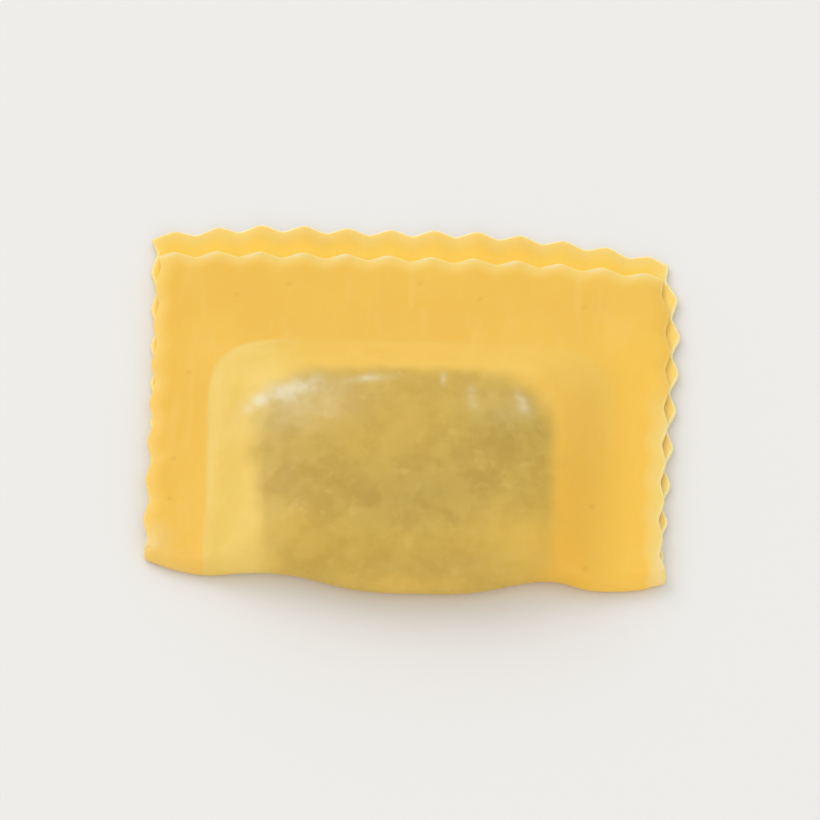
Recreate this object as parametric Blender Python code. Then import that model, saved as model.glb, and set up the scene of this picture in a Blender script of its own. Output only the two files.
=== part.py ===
"""One raviolo, folded from a single sheet of egg pasta round a slab of ricotta and spinach.

The fold is at the front. The two halves of the sheet are pressed together along the other
three sides, which were cut with a fluted wheel, and the lower half shows past the upper one
at the back. The filling sits against the fold and raises a pocket with rounded corners.

Metres, +Z up. The origin is at the middle of the underside, +X runs along the fold and +Y
runs from the fold to the cut edge at the back.
"""

import math
from collections import namedtuple

import bmesh
import bpy

MM = 0.001

# The rolled sheet and the teeth that the fluted wheel cut.
SHEET = 1.0 * MM
TOOTH_SHARPNESS = 0.9
TOOTH_FADE = 2.5 * MM
EDGE_ROUND = 0.3 * MM
EDGE_SHOULDER = 0.3

# One cut edge of one half of the sheet: where it runs, how far it leans along its length,
# where one of its teeth peaks, how far apart the teeth are, and how deep.
Edge = namedtuple("Edge", "place lean peak pitch depth")
Half = namedtuple("Half", "left right back")
UPPER = Half(
    left=Edge(-30.04 * MM, -0.008, 5.2 * MM, 5.17 * MM, 0.55 * MM),
    right=Edge(29.35 * MM, 0.0, 4.4 * MM, 4.96 * MM, 0.55 * MM),
    back=Edge(20.6 * MM, 0.0, 1.4 * MM, 4.97 * MM, 0.75 * MM),
)
LOWER = Half(
    left=Edge(-29.88 * MM, -0.044, 2.85 * MM, 4.98 * MM, 0.6 * MM),
    right=Edge(30.0 * MM, 0.027, 1.9 * MM, 4.96 * MM, 0.85 * MM),
    back=Edge(24.42 * MM, 0.0, 1.55 * MM, 5.02 * MM, 0.8 * MM),
)

# How the edges bend near the corners: the back edges fall away towards both sides, and the
# right edges turn in at the back and flare out at the fold.
HALF_WIDTH = 30.0 * MM
Fall = namedtuple("Fall", "depth power")
FALL_LEFT = Fall(1.7 * MM, 4)
FALL_RIGHT = Fall(3.25 * MM, 3)
UPPER_FALL = 0.5
CORNER_INSET = 1.95 * MM
CORNER_REACH = 21.0 * MM
CORNER_POWER = 4
FLARE = 0.6 * MM
FLARE_START = -19.2 * MM
FLARE_REACH = 4.5 * MM

# The fold: its line and how far that leans, the two swells that bring it forward, the first
# of them over the filling, and its two drawn-back ends. A swell reaches differently far to
# its two sides.
FOLD_Y = -21.94 * MM
FOLD_LEAN = 0.0146
Swell = namedtuple("Swell", "depth centre left right power")
SWELLS = (
    Swell(2.4 * MM, 1.5 * MM, 12.1 * MM, 11.4 * MM, 3.6),
    Swell(0.83 * MM, 21.6 * MM, 3.0 * MM, 6.6 * MM, 2.0),
)
FOLD_LEFT_START = -21.0 * MM
FOLD_LEFT_REACH = 9.0 * MM
FOLD_LEFT_DRAW = 2.15 * MM
FOLD_RIGHT_START = 25.0 * MM
FOLD_RIGHT_REACH = 5.2 * MM
FOLD_RIGHT_DRAW = 0.5 * MM
FOLD_TOP_DEPTH = 0.62
FOLD_BOTTOM_DEPTH = 0.3
FOLD_SAG = 1.2
TUCK = 1.0 * MM
TUCK_REACH = 2.0 * MM

# The pocket over the filling, measured from the foot where the dough leaves the flange.
FOOT_LEFT = -22.1 * MM
FOOT_RIGHT = 22.2 * MM
FOOT_BACK = 7.6 * MM
FOOT_CORNER = 6.0 * MM
RAMP_LEFT = 5.8 * MM
RAMP_RIGHT = 5.2 * MM
RAMP_POWER = 1.55
RAMP_SOFTNESS_LEFT = 0.25
RAMP_SOFTNESS_RIGHT = 0.5
SHOULDER_HEIGHT = 4.9 * MM
DOME_HEIGHT = 1.4 * MM
DOME_REACH = 9.0 * MM

# The flange: how far its edges curl off the table, and the mouth between the two halves.
CURL_REACH = 3.2 * MM
CURL_LEFT = 0.25 * MM
CURL_RIGHT = 0.35 * MM
CURL_BACK = 0.45 * MM
CURL_WAVES = 2.5
MOUTH_DEPTH = 1.6 * MM
MOUTH_GAP = 0.12 * MM
MOUTH_START = 4.0 * MM
SOLE_INSET = 2.0 * MM
CLOSED_INSET = 0.3 * MM
SIDE_TURN = 0.15
BACK_TURN = 0.1

# How much thinner each half gets towards its cut edge, and how far in that begins.
PINCH_UPPER = 0.7 * MM
PINCH_LOWER = 0.25 * MM
PINCH_REACH = 2.1 * MM

# How finely the shape is divided.
COLUMNS = 50
ROWS = 34
FOLD_STEPS = 8

DOUGH_COLOUR = (0.85, 0.53, 0.11, 1.0)
DOUGH_ROUGHNESS = 0.42


def mix(a, b, share):
    return a + (b - a) * share


def mix_points(a, b, share):
    return tuple(mix(p, q, share) for p, q in zip(a, b))


def smoothstep(t):
    t = min(max(t, 0.0), 1.0)
    return t * t * (3.0 - 2.0 * t)


def smooth_min(a, b, reach):
    """The lesser of two lengths, with the corner where they cross rounded over reach."""
    overlap = max(reach - abs(a - b), 0.0) / reach
    return min(a, b) - overlap * overlap * reach / 4.0


def tooth(edge, along):
    """How far the fluted edge stands out, or in, at this point along it."""
    wave = math.cos(2.0 * math.pi * (along - edge.peak) / edge.pitch)
    return edge.depth / 2.0 * math.asin(TOOTH_SHARPNESS * wave) / math.asin(TOOTH_SHARPNESS)


def back_line(half, x):
    """The back edge without its teeth."""
    fall = FALL_LEFT if x < 0 else FALL_RIGHT
    depth = fall.depth * (UPPER_FALL if half is UPPER else 1.0)
    return half.back.place - depth * (abs(x) / HALF_WIDTH) ** fall.power


def left_line(half, y):
    return half.left.place + half.left.lean * y


def right_line(half, y):
    inset = CORNER_INSET * max(y / CORNER_REACH, 0.0) ** CORNER_POWER
    flare = FLARE * max(1.0 - max(y - FLARE_START, 0.0) / FLARE_REACH, 0.0) ** 2
    return half.right.place + half.right.lean * y - inset + flare


def edge_gap(half, x, y):
    """How far inside the nearest cut edge of this half a point lies."""
    return min(
        x - left_line(half, y) + tooth(half.left, y),
        right_line(half, y) + tooth(half.right, y) - x,
        back_line(half, x) + tooth(half.back, x) - y,
    )


def pinch(half, x, y):
    """How much thinner this half of the sheet is here, near its cut edges."""
    depth = PINCH_UPPER if half is UPPER else PINCH_LOWER
    return depth * max(1.0 - max(edge_gap(half, x, y), 0.0) / PINCH_REACH, 0.0) ** 2


def back_corner(half, side_line):
    """Where the back edge meets a side."""
    x = side_line(half, 0.0)
    for _ in range(6):
        y = back_line(half, x)
        x = side_line(half, y)
    return x, y


def fold_line(x):
    """The foremost line of the fold."""
    left = FOLD_LEFT_DRAW * (max(FOLD_LEFT_START - x, 0.0) / FOLD_LEFT_REACH) ** 2
    right = FOLD_RIGHT_DRAW * (max(x - FOLD_RIGHT_START, 0.0) / FOLD_RIGHT_REACH) ** 2
    y = FOLD_Y + FOLD_LEAN * x + left + right
    for swell in SWELLS:
        reach = swell.left if x < swell.centre else swell.right
        y -= swell.depth * math.exp(-(abs(x - swell.centre) / reach) ** swell.power)
    return y


def pocket(x, y):
    """How far the filling raises the upper half above the flange."""
    side = smooth_min(x - FOOT_LEFT, FOOT_RIGHT - x, FOOT_CORNER)
    inward = smooth_min(side, FOOT_BACK - y, FOOT_CORNER)
    ramp = mix(RAMP_LEFT, RAMP_RIGHT, smoothstep(x / HALF_WIDTH + 0.5))
    softness = mix(RAMP_SOFTNESS_LEFT, RAMP_SOFTNESS_RIGHT, smoothstep(x / HALF_WIDTH + 0.5))
    t = inward / ramp
    t = (t + math.hypot(t, softness)) / 2.0
    rise = SHOULDER_HEIGHT * (1.0 - max(1.0 - t, 0.0) ** RAMP_POWER)
    return rise + DOME_HEIGHT * smoothstep((inward - ramp / 2.0) / DOME_REACH)


def curl(x, y):
    """How far the cut edges lift off the table."""
    waves = 0.5 + 0.5 * math.sin(CURL_WAVES * math.pi * x / HALF_WIDTH)
    lifts = (
        (x - LOWER.left.place, CURL_LEFT),
        (LOWER.right.place - x, CURL_RIGHT),
        (LOWER.back.place - y, CURL_BACK * waves),
    )
    return sum(lift * max(1.0 - max(gap, 0.0) / CURL_REACH, 0.0) ** 2 for gap, lift in lifts)


def top_height(x, y):
    return 2.0 * SHEET - pinch(UPPER, x, y) + curl(x, y) + pocket(x, y)


def ledge_height(x, y):
    """The height of the lower half's upper face, where it shows past the upper half."""
    return SHEET - pinch(LOWER, x, y) + curl(x, y)


def fold_height(x):
    """The height of the upper face where the fold's rounding ends."""
    height = top_height(x, fold_line(x) + FOLD_TOP_DEPTH * 2.0 * SHEET)
    return top_height(x, fold_line(x) + FOLD_TOP_DEPTH * height)


def fold_top(x):
    return fold_line(x) + FOLD_TOP_DEPTH * fold_height(x)


def stations(start, end, edge, steps):
    """Points along a cut edge: its two ends, each peak and valley of the teeth between them,
    and the points that share out the steps among the stretches from one to the next."""
    flank = edge.pitch / 2.0
    first = math.ceil((start - edge.peak) / flank + 0.5)
    last = math.floor((end - edge.peak) / flank - 0.5)
    marks = [start, *(edge.peak + k * flank for k in range(first, last + 1)), end]
    stretches = len(marks) - 1
    points = []
    for k in range(stretches):
        count = round((k + 1) * steps / stretches) - round(k * steps / stretches)
        points += [mix(marks[k], marks[k + 1], n / count) for n in range(count)]
    return [*points, end]


class Sheet:
    """One half of the sheet, spanned by a grid from the fold to its back edge."""

    def __init__(self, half):
        self.half = half
        left_x, left_y = back_corner(half, left_line)
        right_x, right_y = back_corner(half, right_line)
        front_left, front_right = left_line(UPPER, FOLD_Y), right_line(UPPER, FOLD_Y)
        ys = stations(fold_top(front_left), left_y, half.left, ROWS)
        self.left = [(left_line(half, y), y) for y in ys]
        ys = stations(fold_top(front_right), right_y, half.right, ROWS)
        self.right = [(right_line(half, y), y) for y in ys]
        xs = stations(left_x, right_x, half.back, COLUMNS)
        self.back = [(x, back_line(half, x)) for x in xs]
        xs = [mix(front_left, front_right, i / COLUMNS) for i in range(COLUMNS + 1)]
        self.front = [(x, fold_top(x)) for x in xs]

    def plain(self, i, j):
        """The point in column i and row j, as it would be without teeth."""
        u, v = i / COLUMNS, j / ROWS
        across = mix_points(self.front[i], self.back[i], v)
        along = mix_points(self.left[j], self.right[j], u)
        low = mix_points(self.front[0], self.front[-1], u)
        high = mix_points(self.back[0], self.back[-1], u)
        both = mix_points(low, high, v)
        return across[0] + along[0] - both[0], across[1] + along[1] - both[1]

    def toothed(self, i, j, rounding=0.0):
        """The same point moved out by the teeth and in by the rounding of the cut edges, both
        of which fade away from them."""
        x, y = self.plain(i, j)
        left = tooth(self.half.left, self.left[j][1]) - rounding
        right = tooth(self.half.right, self.right[j][1]) - rounding
        back = tooth(self.half.back, self.back[i][0]) - rounding
        shift = right * fade(self.right[j][0] - x) - left * fade(x - self.left[j][0])
        return x + shift, y + back * fade(self.back[i][1] - y)

    def end_shift(self, x, y):
        """How far the teeth and the rounding of the two sides move a point of the fold."""
        left = tooth(self.half.left, y) - EDGE_ROUND
        right = tooth(self.half.right, y) - EDGE_ROUND
        return right * fade(right_line(self.half, y) - x) - left * fade(x - left_line(self.half, y))


def turn(share, reach):
    """How much of a corner's turn is taken, at this share of an edge's length from it."""
    return max(1.0 - share / reach, 0.0)


def rim():
    """The grid places along the three cut edges, from the left end of the fold round to its
    right end, each with the direction that points inwards there. The direction turns
    gradually near the two back corners, so that an inset line doesn't cross itself."""
    side = [(j, -turn(1.0 - j / ROWS, SIDE_TURN)) for j in range(ROWS)]
    places = [(0, j, (1.0, along)) for j, along in side]
    for i in range(COLUMNS + 1):
        share = i / COLUMNS
        along = turn(share, BACK_TURN) - turn(1.0 - share, BACK_TURN)
        places.append((i, ROWS, (along, -1.0)))
    places += [(COLUMNS, j, (-1.0, along)) for j, along in reversed(side)]
    return places


def fade(depth):
    """The share of the teeth that is left this far in from a cut edge."""
    return max(1.0 - max(depth, 0.0) / TOOTH_FADE, 0.0) ** 1.5


def inset(point, inwards, depth):
    return point[0] + inwards[0] * depth, point[1] + inwards[1] * depth


def upper_face(upper):
    """Rows of points over the upper face, from the top of the fold to the back edge."""
    face = []
    for j in range(ROWS + 1):
        places = [upper.toothed(i, j, EDGE_ROUND) for i in range(COLUMNS + 1)]
        face.append([(x, y, top_height(x, y)) for x, y in places])
    return face


def tuck(x, share):
    """How far the lower part of the fold is drawn in at its right end, at this share of the
    fold's height."""
    nearness = max(1.0 - (right_line(UPPER, FOLD_Y) - x) / TUCK_REACH, 0.0)
    return TUCK * nearness * (1.0 - share)


def fold_row(upper, step):
    """One row of points round the fold, from its underside at step 0 to its top."""
    angle = math.pi * step / FOLD_STEPS
    depth = FOLD_TOP_DEPTH if angle > math.pi / 2.0 else FOLD_BOTTOM_DEPTH
    share = ((1.0 - math.cos(angle)) / 2.0) ** FOLD_SAG
    row = []
    for x, _ in upper.front:
        height = fold_height(x)
        y = fold_line(x) + depth * height * (1.0 - math.sin(angle))
        row.append((x + upper.end_shift(x, y) - tuck(x, share), y, height * share))
    return row


def rim_section(upper, lower, i, j, inwards):
    """The points that step down from the upper face to the sole at one place on the rim:
    over the cut edge of the upper half, into the mouth between the halves, and over the cut
    edge of the lower half. Near the fold the halves run together and the mouth closes."""
    opened = smoothstep((upper.plain(i, j)[1] - upper.plain(i, 0)[1]) / MOUTH_START)
    above = upper.toothed(i, j)
    below = mix_points(above, lower.toothed(i, j), opened)
    seam = mix_points(above, upper.plain(i, j), opened)
    mouth = inset(seam, inwards, mix(CLOSED_INSET, MOUTH_DEPTH, opened))
    ledge = inset(below, inwards, EDGE_ROUND)
    sole = mix_points(above, lower.plain(i, j), opened)
    sole = inset(sole, inwards, mix(CLOSED_INSET, SOLE_INSET, opened))
    lip = ledge_height(*above) + MOUTH_GAP
    rest = curl(*below)
    return (
        (*above, mix(lip, top_height(*above), 1.0 - EDGE_SHOULDER)),
        (*above, lip),
        (*mouth, ledge_height(*mouth) + MOUTH_GAP / 4.0),
        (*ledge, ledge_height(*ledge)),
        (*below, mix(rest, ledge_height(*below), 1.0 - EDGE_SHOULDER)),
        (*below, rest + SHEET * EDGE_SHOULDER / 2.0),
        (*sole, 0.0),
    )


def add_row(bm, points):
    return [bm.verts.new(point) for point in points]


def skin(bm, rows):
    """Joins each row of vertices to the next with quads."""
    for row, following in zip(rows, rows[1:]):
        for a, b, c, d in zip(row, row[1:], following[1:], following):
            bm.faces.new((a, b, c, d))


def centre_on_origin(bm):
    """Moves the shape sideways until its extents are the same on both sides of the origin."""
    middle = []
    for axis in (0, 1):
        places = [vertex.co[axis] for vertex in bm.verts]
        middle.append((min(places) + max(places)) / 2.0)
    bmesh.ops.translate(bm, verts=bm.verts, vec=(-middle[0], -middle[1], 0.0))


def make_ravioli():
    upper, lower = Sheet(UPPER), Sheet(LOWER)
    bm = bmesh.new()
    fold = [add_row(bm, fold_row(upper, step)) for step in range(FOLD_STEPS)]
    face = [add_row(bm, points) for points in upper_face(upper)]
    skin(bm, fold + face)

    sections = [rim_section(upper, lower, *place) for place in rim()]
    rings = [[face[j][i] for i, j, _ in rim()]]
    rings += [add_row(bm, points) for points in zip(*sections)]
    skin(bm, rings)

    for end in (0, -1):
        bm.faces.new([row[end] for row in fold] + [ring[end] for ring in rings])
    bm.faces.new(fold[0] + rings[-1][::-1])

    bmesh.ops.recalc_face_normals(bm, faces=bm.faces)
    centre_on_origin(bm)
    mesh = bpy.data.meshes.new("ravioli")
    bm.to_mesh(mesh)
    bm.free()
    mesh.shade_smooth()
    mesh.set_sharp_from_angle(angle=math.radians(50))
    ravioli = bpy.data.objects.new("ravioli", mesh)
    bpy.context.scene.collection.objects.link(ravioli)
    return ravioli


def make_dough():
    dough = bpy.data.materials.new("egg_dough")
    dough.use_nodes = True
    shader = dough.node_tree.nodes["Principled BSDF"]
    shader.inputs["Base Color"].default_value = DOUGH_COLOUR
    shader.inputs["Roughness"].default_value = DOUGH_ROUGHNESS
    shader.inputs["Metallic"].default_value = 0.0
    return dough


for old in list(bpy.data.objects):
    bpy.data.objects.remove(old)
make_ravioli().data.materials.append(make_dough())
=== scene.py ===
"""One raviolo of egg pasta, seen from above its fold on a pale table.

The sheet of dough is modelled finely enough for its rounded cut edges, for the mouth between
its two halves and for the lumps of the filling under it. Its material shows the filling
through the dough, paler dough where it lifts off the flange with painted light on its left,
painted shade in gold on the right, painted amber shade and light where the halves meet and
along the right, cream-coloured cut edges that are part painted highlight, painted highlights
on the pocket's shoulders, and a few specks.

Metres, +Z up. +X runs along the fold and +Y runs from the fold to the cut edge at the back.
"""

import math
from collections import namedtuple

import bmesh
import bpy
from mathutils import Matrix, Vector, noise


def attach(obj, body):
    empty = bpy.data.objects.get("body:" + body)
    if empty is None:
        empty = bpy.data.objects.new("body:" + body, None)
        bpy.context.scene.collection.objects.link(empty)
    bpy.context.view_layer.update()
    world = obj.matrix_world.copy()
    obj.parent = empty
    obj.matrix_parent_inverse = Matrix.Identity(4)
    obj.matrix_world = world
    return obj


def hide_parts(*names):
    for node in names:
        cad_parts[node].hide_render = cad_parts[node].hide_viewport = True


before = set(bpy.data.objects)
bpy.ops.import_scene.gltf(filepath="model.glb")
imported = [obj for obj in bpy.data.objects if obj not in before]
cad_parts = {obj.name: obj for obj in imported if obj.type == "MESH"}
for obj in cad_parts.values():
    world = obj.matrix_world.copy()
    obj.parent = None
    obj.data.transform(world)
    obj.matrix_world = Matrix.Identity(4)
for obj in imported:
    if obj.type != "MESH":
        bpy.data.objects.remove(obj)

MM = 0.001

# The rolled sheet, the teeth that the fluted wheel cut and the rounding of the cut edges.
SHEET = 1.0 * MM
TOOTH_SHARPNESS = 0.9
TOOTH_FADE = 2.5 * MM
TOOTH_FADE_POWER = 1.5
EDGE_ROUND = 0.3 * MM
EDGE_SHOULDER = 0.3

# One cut edge of one half of the sheet: where it runs, how far it leans along its length,
# where one of its teeth peaks, how far apart the teeth are, and how deep.
Edge = namedtuple("Edge", "place lean peak pitch depth")
Half = namedtuple("Half", "left right back")
UPPER = Half(
    left=Edge(-30.04 * MM, -0.008, 5.2 * MM, 5.17 * MM, 0.55 * MM),
    right=Edge(29.35 * MM, 0.0, 4.4 * MM, 4.96 * MM, 0.55 * MM),
    back=Edge(20.6 * MM, 0.0, 1.4 * MM, 4.97 * MM, 0.75 * MM),
)
LOWER = Half(
    left=Edge(-29.88 * MM, -0.044, 2.85 * MM, 4.98 * MM, 0.6 * MM),
    right=Edge(30.0 * MM, 0.027, 1.9 * MM, 4.96 * MM, 0.85 * MM),
    back=Edge(24.42 * MM, 0.0, 1.55 * MM, 5.02 * MM, 0.8 * MM),
)

# How the edges bend near the corners: the back edges fall away towards both sides, and the
# right edges turn in at the back and flare out at the fold.
HALF_WIDTH = 30.0 * MM
Fall = namedtuple("Fall", "depth power")
FALL_LEFT = Fall(1.7 * MM, 4)
FALL_RIGHT = Fall(3.25 * MM, 3)
UPPER_FALL = 0.5
CORNER_INSET = 1.95 * MM
CORNER_REACH = 21.0 * MM
CORNER_POWER = 4
FLARE = 0.6 * MM
FLARE_START = -19.2 * MM
FLARE_REACH = 4.5 * MM

# The fold: its line and how far that leans, the two swells that bring it forward, the first
# of them over the filling, and its two drawn-back ends. A swell reaches differently far to
# its two sides.
FOLD_Y = -21.94 * MM
FOLD_LEAN = 0.0146
Swell = namedtuple("Swell", "depth centre left right power")
SWELLS = (
    Swell(2.4 * MM, 1.5 * MM, 12.1 * MM, 11.4 * MM, 3.6),
    Swell(0.83 * MM, 21.6 * MM, 3.0 * MM, 6.6 * MM, 2.0),
)
FOLD_LEFT_START = -21.0 * MM
FOLD_LEFT_REACH = 9.0 * MM
FOLD_LEFT_DRAW = 2.15 * MM
FOLD_RIGHT_START = 25.0 * MM
FOLD_RIGHT_REACH = 5.2 * MM
FOLD_RIGHT_DRAW = 0.5 * MM
FOLD_TOP_DEPTH = 0.62
FOLD_BOTTOM_DEPTH = 0.3
FOLD_SAG = 1.2
TUCK = 1.0 * MM
TUCK_REACH = 2.0 * MM

# The pocket over the filling, measured from the foot where the dough leaves the flange.
FOOT_LEFT = -22.1 * MM
FOOT_RIGHT = 22.2 * MM
FOOT_BACK = 7.6 * MM
FOOT_CORNER = 6.0 * MM
RAMP_LEFT = 5.8 * MM
RAMP_RIGHT = 5.2 * MM
RAMP_POWER = 1.55
RAMP_SOFTNESS_LEFT = 0.25
RAMP_SOFTNESS_RIGHT = 0.5
SHOULDER_HEIGHT = 4.9 * MM
DOME_HEIGHT = 1.4 * MM
DOME_REACH = 9.0 * MM

# The flange: how far its edges curl off the table, and the mouth between the two halves,
# which closes towards the fold.
CURL_REACH = 3.2 * MM
CURL_LEFT = 0.25 * MM
CURL_RIGHT = 0.35 * MM
CURL_BACK = 0.45 * MM
CURL_WAVES = 2.5
MOUTH_DEPTH = 1.6 * MM
MOUTH_GAP = 0.12 * MM
MOUTH_START = 4.0 * MM
CLOSED_INSET = 0.3 * MM

# The flat sole: how far in from the cut edges it starts, how wide its border is, and how much
# smaller than that border's inner line the coarse grid inside it is.
SOLE_INSET = 2.0 * MM
SOLE_BORDER = 0.4 * MM
SOLE_SHARE = 0.975

# Over which share of a side's length, and of the back's, the way inwards turns at a corner.
SIDE_TURN = 0.15
BACK_TURN = 0.1

# How much thinner each half gets towards its cut edge, and how far in that begins.
PINCH_UPPER = 0.7 * MM
PINCH_LOWER = 0.25 * MM
PINCH_REACH = 2.1 * MM

# The unevenness of the dough, in patches of some size, each kind from its own layer of the
# noise: large and small lumps of the filling, waves in the pressed flange, and the strays of
# the pocket's foot and of the filling's outline.
Patches = namedtuple("Patches", "size layer")
LARGE_LUMPS = Patches(5.0 * MM, 1.0)
SMALL_LUMPS = Patches(LARGE_LUMPS.size / 2.2, 2.0)
WAVES = Patches(8.0 * MM, 3.0)
FOOT_STRAYS = Patches(7.0 * MM, 5.0)
OUTLINE_STRAYS = Patches(2.6 * MM, 7.0)

# How high the lumps and the waves are and how far the foot strays. The lumps are sunk by a
# share of their height, so that they don't raise the pocket.
LARGE_SHARE = 0.65
SMALL_SHARE = 0.35
LUMP_HEIGHT = 0.22 * MM
LUMP_SINK = 0.42
WAVE_HEIGHT = 0.12 * MM
FOOT_STRAY = 0.35 * MM

# Where the filling shows through the dough, how uneven and blurred its outline is, up to
# which share of the shoulder's height it fades towards the table, and how much of it shows
# where it lies thin.
FILLING_LEFT = -19.0 * MM
FILLING_LEFT_LEAN = -0.13
FILLING_RIGHT = 17.0 * MM
FILLING_BACK = 2.7 * MM
FILLING_BACK_LEAN = 0.025
FILLING_FRONT = -24.7 * MM
FILLING_FRONT_CORNER = 6.0 * MM
FILLING_CORNER = 12.0 * MM
FILLING_BLUR = 2.6 * MM
FILLING_STRAY = 0.5 * MM
FILLING_LOW = 0.3
FILLING_THIN = 0.72

# Where the dough lies free between the flange and the filling, starting a little outside the
# foot, and how much paler it is there: thin, lifted dough, with painted light that makes it
# palest on the lit left side and less pale at the back. At the right the dough gets painted
# shade in gold instead, where the pocket's side faces away from the light.
FREE_LEFT = -22.6 * MM
FREE_LEFT_LEAN = -0.025
FREE_CORNER = 9.0 * MM
FREE_LEAD = 1.25 * MM
FREE_BLUR = 0.5 * MM
FREE_START = -19.0 * MM
FREE_REACH = 9.0 * MM
FREE_REST = 0.28
# Painted shade in gold beside the filling's right edge, where the pocket's side faces away from the
# light.
GOLDEN_SHADE_X = 19.3 * MM
GOLDEN_SHADE_REACH = 5.5 * MM
GOLDEN_SHADE_BACK = 6.0 * MM
GOLDEN_SHADE_BLUR = 20.0 * MM

# Where the dough is painted amber: painted shade on the lower half close to the edge of the
# upper one, in the crevice between the halves, and painted light on the upper half along its
# right side, against the shade that the pocket casts there.
AMBER_SHADE_REACH = 2.8 * MM
AMBER_LIGHT_SHARE = 0.3
AMBER_LIGHT_X = 18.0 * MM
AMBER_LIGHT_WIDTH = 8.0 * MM
AMBER_LIGHT_BACK = 16.0 * MM
AMBER_LIGHT_LENGTH = 10.0 * MM

# Painted highlights on the flanks of the teeth along the upper half's back edge, where their
# bevels catch the light: how pale they are, how far to the side of each peak and how far in
# from the edge.
FLANK_HIGHLIGHT = 0.75
FLANK_SHIFT = -0.7 * MM
FLANK_DEPTH = 1.1 * MM

# Each half pales towards its cut edges: how far in that begins, and how strong it is at the
# left, the right and the back. Along the right side the upper half hardly does so, but for
# the part towards the fold, where the two halves are pressed into one.
Border = namedtuple("Border", "left right back")
BORDER_REACH = Border(1.5 * MM, 2.4 * MM, 2.2 * MM)
UPPER_BORDER = Border(0.3, 0.1, 0.6)
LOWER_BORDER = Border(0.4, 0.75, 0.65)
PRESSED_BORDER = 0.9
PRESSED_X = 24.0 * MM
PRESSED_WIDTH = 3.0 * MM
PRESSED_Y = 7.0 * MM
PRESSED_LENGTH = 9.0 * MM

# How much of the cut's paleness, which is floury cut dough and painted highlight where the
# rounded edges catch the light, is left at the two sides of each half, and how far in from
# them it takes to be whole. Where the halves are pressed into one, it is whole as well.
Sides = namedtuple("Sides", "left right")
UPPER_CUT_HIGHLIGHT = Sides(0.3, 0.3)
LOWER_CUT_HIGHLIGHT = Sides(0.4, 1.0)
CUT_HIGHLIGHT_FADE = 3.0 * MM

# Soft spots: their middles, half sizes, slant in degrees and strength, and how steeply they
# all fall off. The pale ones are painted highlights on the pocket's shoulders, with a faint
# haze round them, and painted light on the two ends of the fold. Deep ones are thick parts of
# the filling, and thin ones are its corners at the fold.
Spot = namedtuple("Spot", "x y length width slant share")
SPOT_FALL = 2.0
PAINTED_LIGHT_SPOTS = (
    Spot(-17.2 * MM, -2.0 * MM, 3.4 * MM, 1.4 * MM, 24.0, 0.6),
    Spot(-13.2 * MM, -0.8 * MM, 5.2 * MM, 2.2 * MM, 14.0, 0.6),
    Spot(-4.8 * MM, 1.0 * MM, 3.4 * MM, 0.9 * MM, 8.0, 0.5),
    Spot(-11.5 * MM, -3.2 * MM, 8.5 * MM, 4.2 * MM, 8.0, 0.24),
    Spot(11.0 * MM, -2.5 * MM, 6.0 * MM, 3.5 * MM, 0.0, 0.12),
    Spot(3.6 * MM, 1.4 * MM, 0.5 * MM, 1.3 * MM, 0.0, 0.5),
    Spot(7.0 * MM, -1.2 * MM, 0.9 * MM, 2.6 * MM, 10.0, 0.35),
    Spot(12.8 * MM, -1.6 * MM, 0.9 * MM, 2.2 * MM, 18.0, 0.5),
    Spot(-28.6 * MM, -18.6 * MM, 2.2 * MM, 2.8 * MM, 0.0, 0.3),
    Spot(29.3 * MM, -20.0 * MM, 1.3 * MM, 3.0 * MM, 0.0, 0.35),
    Spot(-26.5 * MM, -22.0 * MM, 4.5 * MM, 2.2 * MM, 0.0, 0.16),
)
DEEP_SPOTS = (
    Spot(11.5 * MM, -5.5 * MM, 8.0 * MM, 5.5 * MM, 0.0, 0.9),
    Spot(1.5 * MM, -14.5 * MM, 15.0 * MM, 6.5 * MM, 12.0, 1.1),
    Spot(-12.0 * MM, -11.0 * MM, 7.0 * MM, 6.0 * MM, 0.0, 0.6),
)
THIN_SPOTS = (
    Spot(14.0 * MM, -20.0 * MM, 6.5 * MM, 5.0 * MM, 0.0, 0.55),
    Spot(-15.0 * MM, -20.0 * MM, 6.0 * MM, 5.0 * MM, 0.0, 0.28),
)

# The places of the specks in the dough, in millimetres. All are alike in size and slant.
SPECK_PLACES = (
    (-20.9, 14.5), (-14.9, 16.2), (-25.9, 3.8), (7.3, 15.1), (0.2, 16.9),
    (19.4, 14.4), (-27.1, -7.7), (-27.3, -13.0), (21.3, -13.2), (20.9, -21.3),
)
SPECKS = tuple(
    Spot(x * MM, y * MM, 0.42 * MM, 0.32 * MM, 30.0, 1.0) for x, y in SPECK_PLACES
)

# How finely the shape is divided, and in how many steps a back corner is found. The underside
# takes every fourth point of its rim.
COLUMNS = 260
ROWS = 172
FOLD_STEPS = 44
CORNER_STEPS = 6
SOLE_STRIDE = 4

# The rings that close an end of the fold: how large each one is, and how far it bulges.
Cap = namedtuple("Cap", "size bulge")
CAP_RINGS = (Cap(0.72, 0.8), Cap(0.4, 1.0))

# The strokes that draw a section of the rim: the half that each one belongs to, how finely it
# is divided and how much of the pale cut it shows, which is part floury cut dough and part
# painted highlight on the rounded edges, and in the mouth painted light that lifts its shade.
# They run round the upper half's cut edge, into the mouth, out along the lower half, round its
# cut edge and in along the underside.
Stroke = namedtuple("Stroke", "half steps cut")
RIM = (
    Stroke(UPPER, 5, 0.45),
    Stroke(UPPER, 3, 0.7),
    Stroke(LOWER, 3, 0.35),
    Stroke(LOWER, 3, 0.35),
    Stroke(LOWER, 12, 0.0),
    Stroke(LOWER, 5, 0.75),
    Stroke(LOWER, 3, 0.9),
    Stroke(LOWER, 3, 0.7),
    Stroke(LOWER, 7, 0.0),
    Stroke(LOWER, 1, 0.0),
)

# The rounding of each half's lower edge.
LIP_ROUND = 0.12 * MM

# What is stored at each point of the dough: how much it shows of each of these looks. The gold and
# amber looks are painted shade and light, the pale one is painted highlight and light, and the free
# and cut looks are partly painted light.
LOOKS = ("filling", "free", "golden_shade", "pale", "border", "amber", "cut", "speck")
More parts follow.
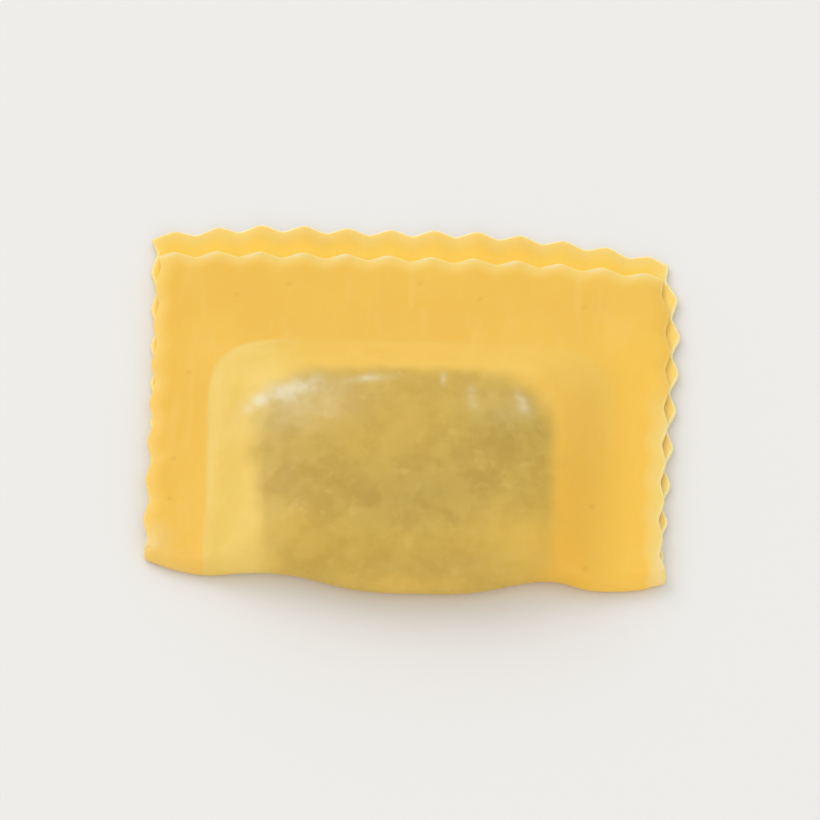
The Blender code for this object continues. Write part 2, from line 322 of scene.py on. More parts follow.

# The colours of the dough, some of them painted light and shade, and how strongly the cut, with its
# painted highlight, and the specks show theirs.
FLANGE = (0.82, 0.505, 0.058, 1.0)
FLANGE_DEEP = (0.81, 0.485, 0.053, 1.0)
FLANGE_STREAK = (0.84, 0.535, 0.10, 1.0)
# Lifted dough, with painted light on its lit left side.
LIFTED_AND_LIT = (0.77, 0.53, 0.10, 1.0)
LIFTED_AND_LIT_PALE = (0.80, 0.57, 0.13, 1.0)
# Painted shade in gold, on the side of the pocket that faces away from the light.
GOLDEN_SHADE = (0.81, 0.46, 0.037, 1.0)
FILLING = (0.515, 0.35, 0.051, 1.0)
FILLING_DARK = (0.445, 0.29, 0.035, 1.0)
FILLING_PALE = (0.62, 0.445, 0.097, 1.0)
# Painted highlights and painted light.
PALE_HIGHLIGHT = (0.77, 0.70, 0.48, 1.0)
BORDER = (0.90, 0.69, 0.22, 1.0)
# Painted amber: shade in the crevice between the halves, and light on the upper half's right side.
AMBER_SHADE_AND_LIGHT = (1.0, 0.62, 0.062, 1.0)
# The cut: floury dough with a painted highlight on the rounded edges.
CUT_AND_HIGHLIGHT = (0.97, 0.81, 0.46, 1.0)
CUT_AND_HIGHLIGHT_SHARE = 0.85
SPECK = (0.46, 0.22, 0.03, 1.0)
SPECK_SHARE = 0.26

# Patterns of noise: the size of their patches, how much finer detail they have and how rough
# it is, and which range of the noise is stretched to run from start to end. The streaks in
# the flange run from the front to the back.
Pattern = namedtuple("Pattern", "size detail roughness low high start end")
FLANGE_PATTERN = Pattern(9.0 * MM, 3.0, 0.5, 0.35, 0.65, 0.0, 1.0)
STREAK_PATTERN = Pattern(1.6 * MM, 3.0, 0.5, 0.5, 0.75, 0.0, 0.5)
STREAK_STRETCH = (1.0, 6.0, 1.0)
LIFTED_AND_LIT_PATTERN = Pattern(6.0 * MM, 3.0, 0.5, 0.35, 0.65, 0.0, 1.0)
BLOT_PATTERN = Pattern(3.2 * MM, 4.0, 0.55, 0.38, 0.66, 0.0, 1.0)
CURD_PATTERN = Pattern(1.8 * MM, 2.0, 0.5, 0.58, 0.76, 0.0, 0.4)
PALE_HIGHLIGHT_PATTERN = Pattern(1.7 * MM, 3.0, 0.5, 0.36, 0.6, 0.55, 1.0)
ROUGHNESS_PATTERN = Pattern(1.6 * MM, 3.0, 0.5, 0.3, 0.7, 0.48, 0.62)

# The finest relief: the size, detail and roughness of its patches, and its depth.
Relief = namedtuple("Relief", "size detail roughness depth")
GRAIN = Relief(0.5 * MM, 4.0, 0.6, 0.02 * MM)
DENTS = Relief(2.2 * MM, 3.0, 0.5, 0.08 * MM)

# How far light gets into the dough, most of all its red part, and the thin gloss on top.
SUBSURFACE = 0.45
SUBSURFACE_REACH = (1.0, 0.6, 0.2)
SUBSURFACE_SCALE = 1.1 * MM
COAT = 0.04
COAT_ROUGHNESS = 0.32

# The view: where the camera looks, from which side and how high, from how far, and how wide
# its view and its sensor are.
AIM = (0.04 * MM, 0.95 * MM, 0.0)
AZIMUTH = 2.6
ELEVATION = 60.0
DISTANCE = 2.4
VIEW_WIDTH = 94.7 * MM
SENSOR = 36.0

# The table and the even light all round.
FLOOR_SIZE = 3.0
FLOOR_COLOUR = (0.78, 0.77, 0.75, 1.0)
FLOOR_ROUGHNESS = 0.9
WORLD_COLOUR = (1.0, 1.0, 1.0, 1.0)
WORLD_STRENGTH = 0.88

# Soft lamps: place, size across, power in watts and colour.
Lamp = namedtuple("Lamp", "name place size power colour")
LAMPS = (
    Lamp("key", (-1.26, 1.35, 1.5), 1.7, 17.5, (1.0, 0.99, 0.97)),
    Lamp("front", (0.2, -1.6, 0.5), 1.4, 5.0, (1.0, 0.99, 0.97)),
)


def mix(a, b, share):
    return a + (b - a) * share


def mix_points(a, b, share):
    return tuple(mix(p, q, share) for p, q in zip(a, b))


def smoothstep(t):
    t = min(max(t, 0.0), 1.0)
    return t * t * (3.0 - 2.0 * t)


def smooth_min(a, b, reach):
    """The lesser of two lengths, with the corner where they cross rounded over reach."""
    overlap = max(reach - abs(a - b), 0.0) / reach
    return min(a, b) - overlap * overlap * reach / 4.0


def stray(x, y, patches):
    """Smooth unevenness between -1 and 1, in patches of this kind."""
    return noise.noise(Vector((x / patches.size, y / patches.size, patches.layer)))


def tooth(edge, along):
    """How far the fluted edge stands out, or in, at this point along it."""
    wave = math.cos(2.0 * math.pi * (along - edge.peak) / edge.pitch)
    return edge.depth / 2.0 * math.asin(TOOTH_SHARPNESS * wave) / math.asin(TOOTH_SHARPNESS)


def back_line(half, x):
    """The back edge without its teeth."""
    fall = FALL_LEFT if x < 0 else FALL_RIGHT
    depth = fall.depth * (UPPER_FALL if half is UPPER else 1.0)
    return half.back.place - depth * (abs(x) / HALF_WIDTH) ** fall.power


def left_line(half, y):
    """The left edge without its teeth."""
    return half.left.place + half.left.lean * y


def right_line(half, y):
    """The right edge without its teeth."""
    inset = CORNER_INSET * max(y / CORNER_REACH, 0.0) ** CORNER_POWER
    flare = FLARE * max(1.0 - max(y - FLARE_START, 0.0) / FLARE_REACH, 0.0) ** 2
    return half.right.place + half.right.lean * y - inset + flare


def edge_gaps(half, x, y):
    """How far inside the left, right and back cut edges of this half a point lies."""
    return (
        x - left_line(half, y) + tooth(half.left, y),
        right_line(half, y) + tooth(half.right, y) - x,
        back_line(half, x) + tooth(half.back, x) - y,
    )


def edge_gap(half, x, y):
    """How far inside the nearest cut edge of this half a point lies."""
    return min(edge_gaps(half, x, y))


def pinch(half, x, y):
    """How much thinner this half of the sheet is here, near its cut edges."""
    depth = PINCH_UPPER if half is UPPER else PINCH_LOWER
    return depth * max(1.0 - max(edge_gap(half, x, y), 0.0) / PINCH_REACH, 0.0) ** 2


def back_corner(half, side_line):
    """Where the back edge meets a side."""
    x = side_line(half, 0.0)
    for _ in range(CORNER_STEPS):
        y = back_line(half, x)
        x = side_line(half, y)
    return x, y


def fold_line(x):
    """The foremost line of the fold."""
    left = FOLD_LEFT_DRAW * (max(FOLD_LEFT_START - x, 0.0) / FOLD_LEFT_REACH) ** 2
    right = FOLD_RIGHT_DRAW * (max(x - FOLD_RIGHT_START, 0.0) / FOLD_RIGHT_REACH) ** 2
    y = FOLD_Y + FOLD_LEAN * x + left + right
    for swell in SWELLS:
        reach = swell.left if x < swell.centre else swell.right
        y -= swell.depth * math.exp(-(abs(x - swell.centre) / reach) ** swell.power)
    return y


def inside_foot(x, y):
    """How far inside the foot of the pocket a point lies."""
    side = smooth_min(x - FOOT_LEFT, FOOT_RIGHT - x, FOOT_CORNER)
    return smooth_min(side, FOOT_BACK - y, FOOT_CORNER)


def foot_stray(x, y):
    """How far the foot of the pocket strays outwards from its line here."""
    return FOOT_STRAY * stray(x, y, FOOT_STRAYS)


def rightness(x):
    """How far to the right a place is: 0 half way to the left end and beyond, and 1 half way
    to the right end and beyond."""
    return smoothstep(x / HALF_WIDTH + 0.5)


def ramp_length(x):
    """How far in from the foot the pocket's sides reach the shoulder."""
    return mix(RAMP_LEFT, RAMP_RIGHT, rightness(x))


def pocket(x, y):
    """How far the filling raises the upper half above the flange."""
    inward = inside_foot(x, y) + foot_stray(x, y)
    ramp = ramp_length(x)
    softness = mix(RAMP_SOFTNESS_LEFT, RAMP_SOFTNESS_RIGHT, rightness(x))
    t = inward / ramp
    t = (t + math.hypot(t, softness)) / 2.0
    rise = SHOULDER_HEIGHT * (1.0 - max(1.0 - t, 0.0) ** RAMP_POWER)
    return rise + DOME_HEIGHT * smoothstep((inward - ramp / 2.0) / DOME_REACH)


def curl(x, y):
    """How far the cut edges lift off the table."""
    waves = 0.5 + 0.5 * math.sin(CURL_WAVES * math.pi * x / HALF_WIDTH)
    lifts = (
        (x - LOWER.left.place, CURL_LEFT),
        (LOWER.right.place - x, CURL_RIGHT),
        (LOWER.back.place - y, CURL_BACK * waves),
    )
    return sum(lift * max(1.0 - max(gap, 0.0) / CURL_REACH, 0.0) ** 2 for gap, lift in lifts)


def relief(x, y):
    """The lumps of the filling and the waves of the flange round it."""
    filled = smoothstep(inside_foot(x, y) / ramp_length(x))
    lumps = LARGE_SHARE * stray(x, y, LARGE_LUMPS) + SMALL_SHARE * stray(x, y, SMALL_LUMPS)
    waves = stray(x, y, WAVES)
    return mix(WAVE_HEIGHT * waves, LUMP_HEIGHT * (lumps - LUMP_SINK), filled)


def top_height(x, y):
    """The height of the upper half's upper face."""
    return 2.0 * SHEET - pinch(UPPER, x, y) + curl(x, y) + pocket(x, y) + relief(x, y)


def ledge_height(x, y):
    """The height of the lower half's upper face, where it shows past the upper half."""
    return SHEET - pinch(LOWER, x, y) + curl(x, y)


def fold_height(x):
    """The height of the upper face where the fold's rounding ends."""
    height = top_height(x, fold_line(x) + FOLD_TOP_DEPTH * 2.0 * SHEET)
    return top_height(x, fold_line(x) + FOLD_TOP_DEPTH * height)


def fold_top(x):
    """Where the fold's rounding ends at its top, and the upper face begins."""
    return fold_line(x) + FOLD_TOP_DEPTH * fold_height(x)


def stations(start, end, edge, steps):
    """Points along a cut edge: its two ends, each peak and valley of the teeth between them,
    and the points that share out the steps among the stretches from one to the next."""
    flank = edge.pitch / 2.0
    first = math.ceil((start - edge.peak) / flank + 0.5)
    last = math.floor((end - edge.peak) / flank - 0.5)
    marks = [start, *(edge.peak + k * flank for k in range(first, last + 1)), end]
    stretches = len(marks) - 1
    points = []
    for k in range(stretches):
        count = round((k + 1) * steps / stretches) - round(k * steps / stretches)
        points += [mix(marks[k], marks[k + 1], n / count) for n in range(count)]
    return [*points, end]


class Patch:
    """A grid of points that fills the space between four edges."""

    def __init__(self, front, back, left, right):
        self.front = front
        self.back = back
        self.left = left
        self.right = right

    def plain(self, i, j):
        """The point in column i and row j."""
        u, v = i / (len(self.front) - 1), j / (len(self.left) - 1)
        across = mix_points(self.front[i], self.back[i], v)
        along = mix_points(self.left[j], self.right[j], u)
        low = mix_points(self.front[0], self.front[-1], u)
        high = mix_points(self.back[0], self.back[-1], u)
        both = mix_points(low, high, v)
        return tuple(a + b - c for a, b, c in zip(across, along, both))


class Sheet(Patch):
    """One half of the sheet, spanned by a grid from the fold to its back edge."""

    def __init__(self, half):
        self.half = half
        left_x, left_y = back_corner(half, left_line)
        right_x, right_y = back_corner(half, right_line)
        front_left, front_right = left_line(UPPER, FOLD_Y), right_line(UPPER, FOLD_Y)
        left_ys = stations(fold_top(front_left), left_y, half.left, ROWS)
        right_ys = stations(fold_top(front_right), right_y, half.right, ROWS)
        front_xs = [mix(front_left, front_right, i / COLUMNS) for i in range(COLUMNS + 1)]
        super().__init__(
            front=[(x, fold_top(x)) for x in front_xs],
            back=[(x, back_line(half, x)) for x in stations(left_x, right_x, half.back, COLUMNS)],
            left=[(left_line(half, y), y) for y in left_ys],
            right=[(right_line(half, y), y) for y in right_ys],
        )

    def toothed(self, i, j, rounding=0.0):
        """The same point moved out by the teeth and in by the rounding of the cut edges, both
        of which fade away from them."""
        x, y = self.plain(i, j)
        left = tooth(self.half.left, self.left[j][1]) - rounding
        right = tooth(self.half.right, self.right[j][1]) - rounding
        back = tooth(self.half.back, self.back[i][0]) - rounding
        shift = right * fade(self.right[j][0] - x) - left * fade(x - self.left[j][0])
        return x + shift, y + back * fade(self.back[i][1] - y)

    def end_shift(self, x, y):
        """How far the teeth and the rounding of the two sides move a point of the fold."""
        left = tooth(self.half.left, y) - EDGE_ROUND
        right = tooth(self.half.right, y) - EDGE_ROUND
        return right * fade(right_line(self.half, y) - x) - left * fade(x - left_line(self.half, y))


def turn(share, reach):
    """How much of a corner's turn is taken, at this share of an edge's length from it."""
    return max(1.0 - share / reach, 0.0)


def rim():
    """The grid places along the three cut edges, from the left end of the fold round to its
    right end, each with the direction that points inwards there. The direction turns
    gradually near the two back corners, so that an inset line doesn't cross itself."""
    side = [(j, -turn(1.0 - j / ROWS, SIDE_TURN)) for j in range(ROWS)]
    places = [(0, j, (1.0, along)) for j, along in side]
    for i in range(COLUMNS + 1):
        share = i / COLUMNS
        along = turn(share, BACK_TURN) - turn(1.0 - share, BACK_TURN)
        places.append((i, ROWS, (along, -1.0)))
    places += [(COLUMNS, j, (-1.0, along)) for j, along in reversed(side)]
    return places


def fade(depth):
    """The share of the teeth that is left this far in from a cut edge."""
    return max(1.0 - max(depth, 0.0) / TOOTH_FADE, 0.0) ** TOOTH_FADE_POWER


def inset(point, inwards, depth):
    """The point moved in by this depth."""
    return point[0] + inwards[0] * depth, point[1] + inwards[1] * depth


def upper_face(upper):
    """Rows of points over the upper face, from the top of the fold to the back edge."""
    face = []
    for j in range(ROWS + 1):
        places = [upper.toothed(i, j, EDGE_ROUND) for i in range(COLUMNS + 1)]
        face.append([(x, y, top_height(x, y)) for x, y in places])
    return face


def tuck(x, share):
    """How far the lower part of the fold is drawn in at its right end, at this share of the
    fold's height."""
    nearness = max(1.0 - (right_line(UPPER, FOLD_Y) - x) / TUCK_REACH, 0.0)
    return TUCK * nearness * (1.0 - share)


def fold_row(upper, step):
    """One row of points round the fold, from its underside at step 0 to its top."""
    angle = math.pi * step / FOLD_STEPS
    depth = FOLD_TOP_DEPTH if angle > math.pi / 2.0 else FOLD_BOTTOM_DEPTH
    share = ((1.0 - math.cos(angle)) / 2.0) ** FOLD_SAG
    row = []
    for x, _ in upper.front:
        height = fold_height(x)
        y = fold_line(x) + depth * height * (1.0 - math.sin(angle))
        row.append((x + upper.end_shift(x, y) - tuck(x, share), y, height * share))
    return row


def rim_section(upper, lower, i, j, inwards):
    """The points that the strokes of the rim run through, with each stroke's bend between
    its two ends. Near the fold the halves run together and the mouth closes."""
    opened = smoothstep((upper.plain(i, j)[1] - upper.plain(i, 0)[1]) / MOUTH_START)
    above = upper.toothed(i, j)
    below = mix_points(above, lower.toothed(i, j), opened)
    seam = mix_points(above, upper.plain(i, j), opened)
    mouth = inset(seam, inwards, mix(CLOSED_INSET, MOUTH_DEPTH, opened))
    sole = mix_points(above, lower.plain(i, j), opened)
    sole = inset(sole, inwards, mix(CLOSED_INSET, SOLE_INSET, opened))

    face = upper.toothed(i, j, EDGE_ROUND)
    top = top_height(*above)
    lip = ledge_height(*above) + MOUTH_GAP
    shoulder = mix(lip, top, 1.0 - EDGE_SHOULDER)
    lip_in = inset(above, inwards, LIP_ROUND)
    wedge = (*mouth, ledge_height(*mouth) + MOUTH_GAP / 4.0)

    rest = curl(*below)
    height = ledge_height(*below)
    ledge = inset(below, inwards, EDGE_ROUND)
    ledge = (*ledge, ledge_height(*ledge))
    base = (*inset(below, inwards, LIP_ROUND), rest)
    ground = (*sole, 0.0)
    return (
        (*face, top_height(*face)), (*above, top),
        (*above, shoulder), (*above, mix(shoulder, lip, 0.5)),
        (*above, lip + LIP_ROUND), (*above, lip),
        (*lip_in, lip), mix_points((*lip_in, lip), wedge, 0.5),
        wedge, mix_points(wedge, ledge, 0.5),
        ledge, (*below, height),
        (*below, mix(rest, height, 1.0 - EDGE_SHOULDER)), (*below, mix(rest, height, 0.5)),
        (*below, rest + LIP_ROUND), (*below, rest),
        base, (*mix_points(base, ground, 0.5)[:2], 0.0),
        ground, (*inset(sole, inwards, SOLE_BORDER / 2.0), 0.0),
        (*inset(sole, inwards, SOLE_BORDER), 0.0),
    )


def bend(start, middle, end, share):
    """A point on the curve from start to end that is drawn towards the middle point."""
    return mix_points(mix_points(start, middle, share), mix_points(middle, end, share), share)


def drawn(section):
    """The section's points along all its strokes, after the face's own point."""
    points = []
    for k, stroke in enumerate(RIM):
        ends = section[2 * k:2 * k + 3]
        points += [bend(*ends, n / stroke.steps) for n in range(1, stroke.steps + 1)]
    return points


def spot_share(spots, x, y):
    """How strong these soft spots are together at a point, from 0 to 1."""
    share = 0.0
    for spot in spots:
        slant = math.radians(spot.slant)
        dx, dy = x - spot.x, y - spot.y
        along = (dx * math.cos(slant) + dy * math.sin(slant)) / spot.length
        across = (dy * math.cos(slant) - dx * math.sin(slant)) / spot.width
        share += spot.share * math.exp(-SPOT_FALL * (along ** 2 + across ** 2))
    return min(share, 1.0)


def filling_share(x, y, z):
    """How much of the filling shows through the dough at this point of its surface."""
    left = FILLING_LEFT + FILLING_LEFT_LEAN * y
    back = FILLING_BACK + FILLING_BACK_LEAN * x
    side = smooth_min(x - left, FILLING_RIGHT - x, FILLING_CORNER)
    inward = smooth_min(side, back - y, FILLING_CORNER)
    inward = smooth_min(inward, y - FILLING_FRONT, FILLING_FRONT_CORNER)
    wobble = FILLING_STRAY * stray(x, y, OUTLINE_STRAYS)
    outline = smoothstep((inward + wobble) / FILLING_BLUR + 0.5)
    shoulder = 2.0 * SHEET + SHOULDER_HEIGHT
    raised = smoothstep(z / shoulder / FILLING_LOW)
    deep = mix(FILLING_THIN, 1.0, spot_share(DEEP_SPOTS, x, y))
    return outline * raised * deep * (1.0 - spot_share(THIN_SPOTS, x, y))


def free_and_lit_share(x, y):
    """How much the dough pales where it has left the flange: thin, lifted dough, with painted light
    that is strongest on the lit left side and fades towards the right.
    """
    side = smooth_min(x - FREE_LEFT - FREE_LEFT_LEAN * y, FOOT_RIGHT - x, FREE_CORNER)
    inward = smooth_min(side, FOOT_BACK - y, FREE_CORNER) + foot_stray(x, y)
    fading = mix(1.0, FREE_REST, smoothstep((x - FREE_START) / FREE_REACH))
    return smoothstep((inward + FREE_LEAD) / FREE_BLUR) * fading


def golden_shade_share(x, y):
    """How much painted shade in gold the dough gets beside the filling's right edge, where the
    pocket's side faces away from the light.
    """
    across = max(1.0 - ((x - GOLDEN_SHADE_X) / GOLDEN_SHADE_REACH) ** 2, 0.0)
    return across * smoothstep((GOLDEN_SHADE_BACK - y) / GOLDEN_SHADE_BLUR)


def pressed_share(x, y):
    """How much the two halves are pressed into one here, along the front of the right side."""
    across = smoothstep((x - PRESSED_X) / PRESSED_WIDTH)
    return across * smoothstep((PRESSED_Y - y) / PRESSED_LENGTH)


def pale_highlight_share(half, x, y):
    """How pale the dough is here: the pale spots of painted highlight and light, and on the upper
    half painted highlights on the flanks of the teeth at its back edge.
    """
    spots = spot_share(PAINTED_LIGHT_SPOTS, x, y)
    if half is LOWER:
        return spots
    wave = math.cos(2.0 * math.pi * (x - half.back.peak - FLANK_SHIFT) / half.back.pitch)
    gap = edge_gaps(half, x, y)[2]
    return max(spots, FLANK_HIGHLIGHT * max(wave, 0.0) * max(1.0 - abs(gap) / FLANK_DEPTH, 0.0))


def border_share(half, x, y):
    """How much the dough pales towards the cut edges of this half."""
    shares = UPPER_BORDER if half is UPPER else LOWER_BORDER
    pressed = PRESSED_BORDER * pressed_share(x, y)
    shares = shares._replace(right=max(shares.right, pressed))
    gaps = edge_gaps(half, x, y)
    return max(
        share * max(1.0 - max(gap, 0.0) / reach, 0.0)
        for share, gap, reach in zip(shares, gaps, BORDER_REACH)
    )


def amber_shade_and_light_share(half, x, y):
    """How much painted amber the dough of this half gets: painted shade on the lower half near the
    upper one's edge, and painted light on the upper half's right side.
    """
    if half is UPPER:
        across = smoothstep((x - AMBER_LIGHT_X) / AMBER_LIGHT_WIDTH)
        return AMBER_LIGHT_SHARE * across * smoothstep((AMBER_LIGHT_BACK - y) / AMBER_LIGHT_LENGTH)
    near = max(1.0 - max(-edge_gap(UPPER, x, y), 0.0) / AMBER_SHADE_REACH, 0.0)
    return near * (1.0 - pressed_share(x, y))


def cut_and_highlight_share(half, x, y, share):
    """How pale a stroke round the cut edge is here, as floury cut dough with painted highlight:
    fainter at some of the sides, except where the two halves are pressed into one."""
    sides = UPPER_CUT_HIGHLIGHT if half is UPPER else LOWER_CUT_HIGHLIGHT
    left = mix(sides.left, 1.0, smoothstep((x - half.left.place) / CUT_HIGHLIGHT_FADE))
    pressed = max(sides.right, pressed_share(x, y))
    right = mix(pressed, 1.0, smoothstep((half.right.place - x) / CUT_HIGHLIGHT_FADE))
    return share * left * right


class Skin:
    """The mesh of the dough, with a share of each look stored at each point."""

    def __init__(self):
        self.bm = bmesh.new()
        self.layers = [self.bm.verts.layers.float.new(look) for look in LOOKS]

    def row(self, points, half=UPPER, cut=0.0):
        """Adds a row of vertices that belong to this half and show this much of the cut."""
        verts = []
        for x, y, z in points:
            vert = self.bm.verts.new((x, y, z))
            shares = (
                filling_share(x, y, z), free_and_lit_share(x, y), golden_shade_share(x, y),
                pale_highlight_share(half, x, y), border_share(half, x, y),
                amber_shade_and_light_share(half, x, y), cut_and_highlight_share(half, x, y, cut), spot_share(SPECKS, x, y),
            )
            for layer, share in zip(self.layers, shares):
                vert[layer] = share
            verts.append(vert)
        return verts

    def join(self, rows):
        """Joins each row of vertices to the next with quads."""
        for row, following in zip(rows, rows[1:]):
            for a, b, c, d in zip(row, row[1:], following[1:], following):
                self.bm.faces.new((a, b, c, d))

    def step_down(self, fine, coarse):
        """Joins a row to one that has a vertex for every fourth of its own."""
        for k in range(len(coarse) - 1):
            part = fine[k * SOLE_STRIDE:(k + 1) * SOLE_STRIDE + 1]
            self.bm.faces.new((coarse[k], coarse[k + 1], *reversed(part)))

    def close(self, loop, side):
        """Fills an end of the fold with a low pillow that bulges to this side."""
        middle = sum((vert.co for vert in loop), Vector()) / len(loop)
        far = side * max(side * vert.co.x for vert in loop)
        rings = [loop]
        for cap in CAP_RINGS:
            points = [middle.lerp(vert.co, cap.size) for vert in loop]
            rings.append(self.row([(mix(x, far, cap.bulge), y, z) for x, y, z in points]))
        self.join([[*ring, ring[0]] for ring in rings])
        self.bm.faces.new(rings[-1])


def make_sole(skin, fold, ring):
    """The flat underside: a coarse grid, joined to the fold and to the rim's last ring."""
    sides = (fold, ring[ROWS:-ROWS], ring[:ROWS + 1], ring[:-ROWS - 2:-1])
    edges = [[tuple(SOLE_SHARE * vert.co) for vert in side[::SOLE_STRIDE]] for side in sides]
    front, back, left, right = edges
    left[0], right[0] = front[0], front[-1]
    patch = Patch(front, back, left, right)
    grid = [skin.row([patch.plain(i, j) for i in range(len(front))]) for j in range(len(left))]
    skin.join(grid)
    skin.step_down(fold, grid[0])
    skin.step_down(sides[1], grid[-1])
    skin.step_down(sides[2], [row[0] for row in grid])
    skin.step_down(sides[3], [row[-1] for row in grid])
    for end in (0, -1):
        skin.bm.faces.new((grid[0][end], fold[end], ring[end]))


def centre_on_origin(bm):
    """Moves the shape sideways until its extents are the same on both sides of the origin."""
    middle = []
    for axis in (0, 1):
        places = [vertex.co[axis] for vertex in bm.verts]
        middle.append((min(places) + max(places)) / 2.0)
    bmesh.ops.translate(bm, verts=bm.verts, vec=(-middle[0], -middle[1], 0.0))


def make_ravioli():
    upper, lower = Sheet(UPPER), Sheet(LOWER)
    skin = Skin()
    top = upper_face(upper)
    fold = [skin.row(fold_row(upper, step)) for step in range(FOLD_STEPS)]
    face = [skin.row(points) for points in top]
    skin.join(fold + face)

    sections = [drawn(rim_section(upper, lower, *place)) for place in rim()]
    looks = [(stroke.half, stroke.cut) for stroke in RIM for _ in range(stroke.steps)]
    rings = [[face[j][i] for i, j, _ in rim()]]
    rings += [skin.row(points, *look) for points, look in zip(zip(*sections), looks)]
    skin.join(rings)

    for end, side in ((0, -1.0), (-1, 1.0)):
        skin.close([row[end] for row in fold] + [ring[end] for ring in rings], side)
    make_sole(skin, fold[0], rings[-1])

    bmesh.ops.recalc_face_normals(skin.bm, faces=skin.bm.faces)
    centre_on_origin(skin.bm)
    mesh = bpy.data.meshes.new("ravioli_dough")
    skin.bm.to_mesh(mesh)
    skin.bm.free()
    mesh.shade_smooth()
    ravioli = bpy.data.objects.new("ravioli_dough", mesh)
    bpy.context.scene.collection.objects.link(ravioli)
    return ravioli


class Graph:
    """A material's nodes, with a short call for each kind."""

    def __init__(self, name):
        self.material = bpy.data.materials.new(name)
        self.material.use_nodes = True
        self.nodes = self.material.node_tree.nodes
        self.links = self.material.node_tree.links
        self.shader = self.nodes["Principled BSDF"]
        self.place = self.nodes.new("ShaderNodeTexCoord").outputs["Object"]

    def put(self, node, values):
        """Links or sets inputs of a node, each by its name, to an output or a plain value."""
        for name, value in values.items():
            if isinstance(value, bpy.types.NodeSocket):
                self.links.new(value, node.inputs[name])
            else:
                node.inputs[name].default_value = value
        return node

    def attribute(self, name):
        """A share that is stored at each point of the mesh."""
        node = self.nodes.new("ShaderNodeAttribute")
        node.attribute_name = name
        return node.outputs["Fac"]

    def stretched(self, x, y, z):
        """Places stretched by these factors, so that noise runs in streaks."""
        scale = (1.0 / x, 1.0 / y, 1.0 / z)
        node = self.nodes.new("ShaderNodeMapping")
        return self.put(node, {"Vector": self.place, "Scale": scale}).outputs["Vector"]

    def noise(self, kind, place=None):
        """Noise from 0 to 1 with patches of this kind."""
        node = self.put(self.nodes.new("ShaderNodeTexNoise"), {
            "Vector": place or self.place,
            "Scale": 1.0 / kind.size,
            "Detail": kind.detail,
            "Roughness": kind.roughness,
        })
        return node.outputs["Fac"]

    def pattern(self, pattern, place=None):
        """Noise whose range from low to high is stretched to run from start to end."""
        node = self.nodes.new("ShaderNodeMapRange")
        node.interpolation_type = "SMOOTHSTEP"
        self.put(node, {
            "Value": self.noise(pattern, place),
            "From Min": pattern.low,
            "From Max": pattern.high,
            "To Min": pattern.start,
            "To Max": pattern.end,
        })
        return node.outputs["Result"]

    def product(self, first, second):
        """Two values multiplied."""
        node = self.nodes.new("ShaderNodeMath")
        node.operation = "MULTIPLY"
        return self.put(node, {0: first, 1: second}).outputs["Value"]

    def blend(self, share, first, second):
        """A mix of two colours."""
        node = self.nodes.new("ShaderNodeMix")
        node.data_type = "RGBA"
        colours = [k for k, socket in enumerate(node.inputs) if socket.type == "RGBA"]
        self.put(node, {"Factor": share, colours[0]: first, colours[1]: second})
        return next(socket for socket in node.outputs if socket.type == "RGBA")

    def bump(self, relief, under=None):
        """The slope of a relief, on top of the relief under it if there is one."""
        values = {"Height": self.noise(relief), "Distance": relief.depth, "Strength": 1.0}
        if under:
            values["Normal"] = under
        return self.put(self.nodes.new("ShaderNodeBump"), values).outputs["Normal"]


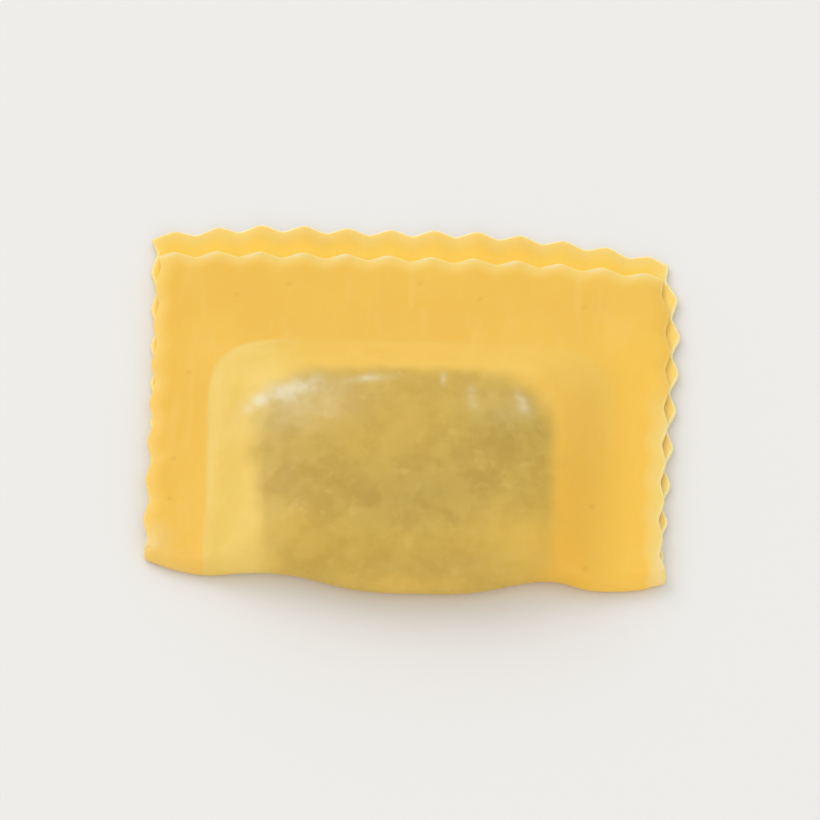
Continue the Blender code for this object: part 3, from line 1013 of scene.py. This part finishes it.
def make_dough():
    """The material of the dough: the pressed flange, and over it one look after the other."""
    graph = Graph("egg_dough")
    share = {look: graph.attribute(look) for look in LOOKS}

    dough = graph.blend(graph.pattern(FLANGE_PATTERN), FLANGE, FLANGE_DEEP)
    streaks = graph.pattern(STREAK_PATTERN, graph.stretched(*STREAK_STRETCH))
    lifted_and_lit = graph.blend(graph.pattern(LIFTED_AND_LIT_PATTERN), LIFTED_AND_LIT, LIFTED_AND_LIT_PALE)
    stuffed = graph.blend(graph.pattern(BLOT_PATTERN), FILLING, FILLING_DARK)
    stuffed = graph.blend(graph.pattern(CURD_PATTERN), stuffed, FILLING_PALE)
    # Painted light and shade come in among these looks: light on the lifted dough, shade in gold,
    # amber shade and light, and highlights in the pale spots and on the cut.
    coats = (
        (streaks, FLANGE_STREAK),
        (share["free"], lifted_and_lit),
        (share["golden_shade"], GOLDEN_SHADE),
        (share["filling"], stuffed),
        (share["amber"], AMBER_SHADE_AND_LIGHT),
        (share["border"], BORDER),
        (graph.product(share["pale"], graph.pattern(PALE_HIGHLIGHT_PATTERN)), PALE_HIGHLIGHT),
        (graph.product(share["cut"], CUT_AND_HIGHLIGHT_SHARE), CUT_AND_HIGHLIGHT),
        (graph.product(share["speck"], SPECK_SHARE), SPECK),
    )
    for strength, colour in coats:
        dough = graph.blend(strength, dough, colour)

    graph.put(graph.shader, {
        "Base Color": dough,
        "Roughness": graph.pattern(ROUGHNESS_PATTERN),
        "Subsurface Weight": SUBSURFACE,
        "Subsurface Radius": SUBSURFACE_REACH,
        "Subsurface Scale": SUBSURFACE_SCALE,
        "Coat Weight": COAT,
        "Coat Roughness": COAT_ROUGHNESS,
        "Normal": graph.bump(DENTS, graph.bump(GRAIN)),
    })
    return graph.material


def make_floor():
    bpy.ops.mesh.primitive_plane_add(size=FLOOR_SIZE)
    floor = bpy.context.object
    floor.name = "table"
    graph = Graph("table_paint")
    graph.put(graph.shader, {"Base Color": FLOOR_COLOUR, "Roughness": FLOOR_ROUGHNESS})
    floor.data.materials.append(graph.material)


def look_from(thing, place, target):
    """Puts a camera or a lamp at a place and turns it towards the target."""
    thing.location = place
    thing.rotation_euler = (Vector(target) - Vector(place)).to_track_quat("-Z", "Y").to_euler()


def make_camera():
    data = bpy.data.cameras.new("camera")
    data.sensor_width = SENSOR
    data.lens = SENSOR * DISTANCE / VIEW_WIDTH
    camera = bpy.data.objects.new("camera", data)
    bpy.context.scene.collection.objects.link(camera)
    azimuth, elevation = math.radians(AZIMUTH), math.radians(ELEVATION)
    back = Vector((
        math.sin(azimuth) * math.cos(elevation),
        -math.cos(azimuth) * math.cos(elevation),
        math.sin(elevation),
    ))
    look_from(camera, Vector(AIM) + DISTANCE * back, AIM)
    bpy.context.scene.camera = camera


def make_light():
    scene = bpy.context.scene
    scene.world = bpy.data.worlds.new("soft_room")
    scene.world.use_nodes = True
    background = scene.world.node_tree.nodes["Background"]
    background.inputs["Color"].default_value = WORLD_COLOUR
    background.inputs["Strength"].default_value = WORLD_STRENGTH
    for lamp in LAMPS:
        data = bpy.data.lights.new(lamp.name, "AREA")
        data.size = lamp.size
        data.energy = lamp.power
        data.color = lamp.colour
        light = bpy.data.objects.new(lamp.name, data)
        scene.collection.objects.link(light)
        look_from(light, lamp.place, AIM)
    scene.view_settings.view_transform = "Standard"


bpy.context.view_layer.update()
ravioli = make_ravioli()
ravioli.data.materials.append(make_dough())
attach(ravioli, "root")
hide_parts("ravioli")
make_floor()
make_camera()
make_light()

bpy.context.view_layer.update()
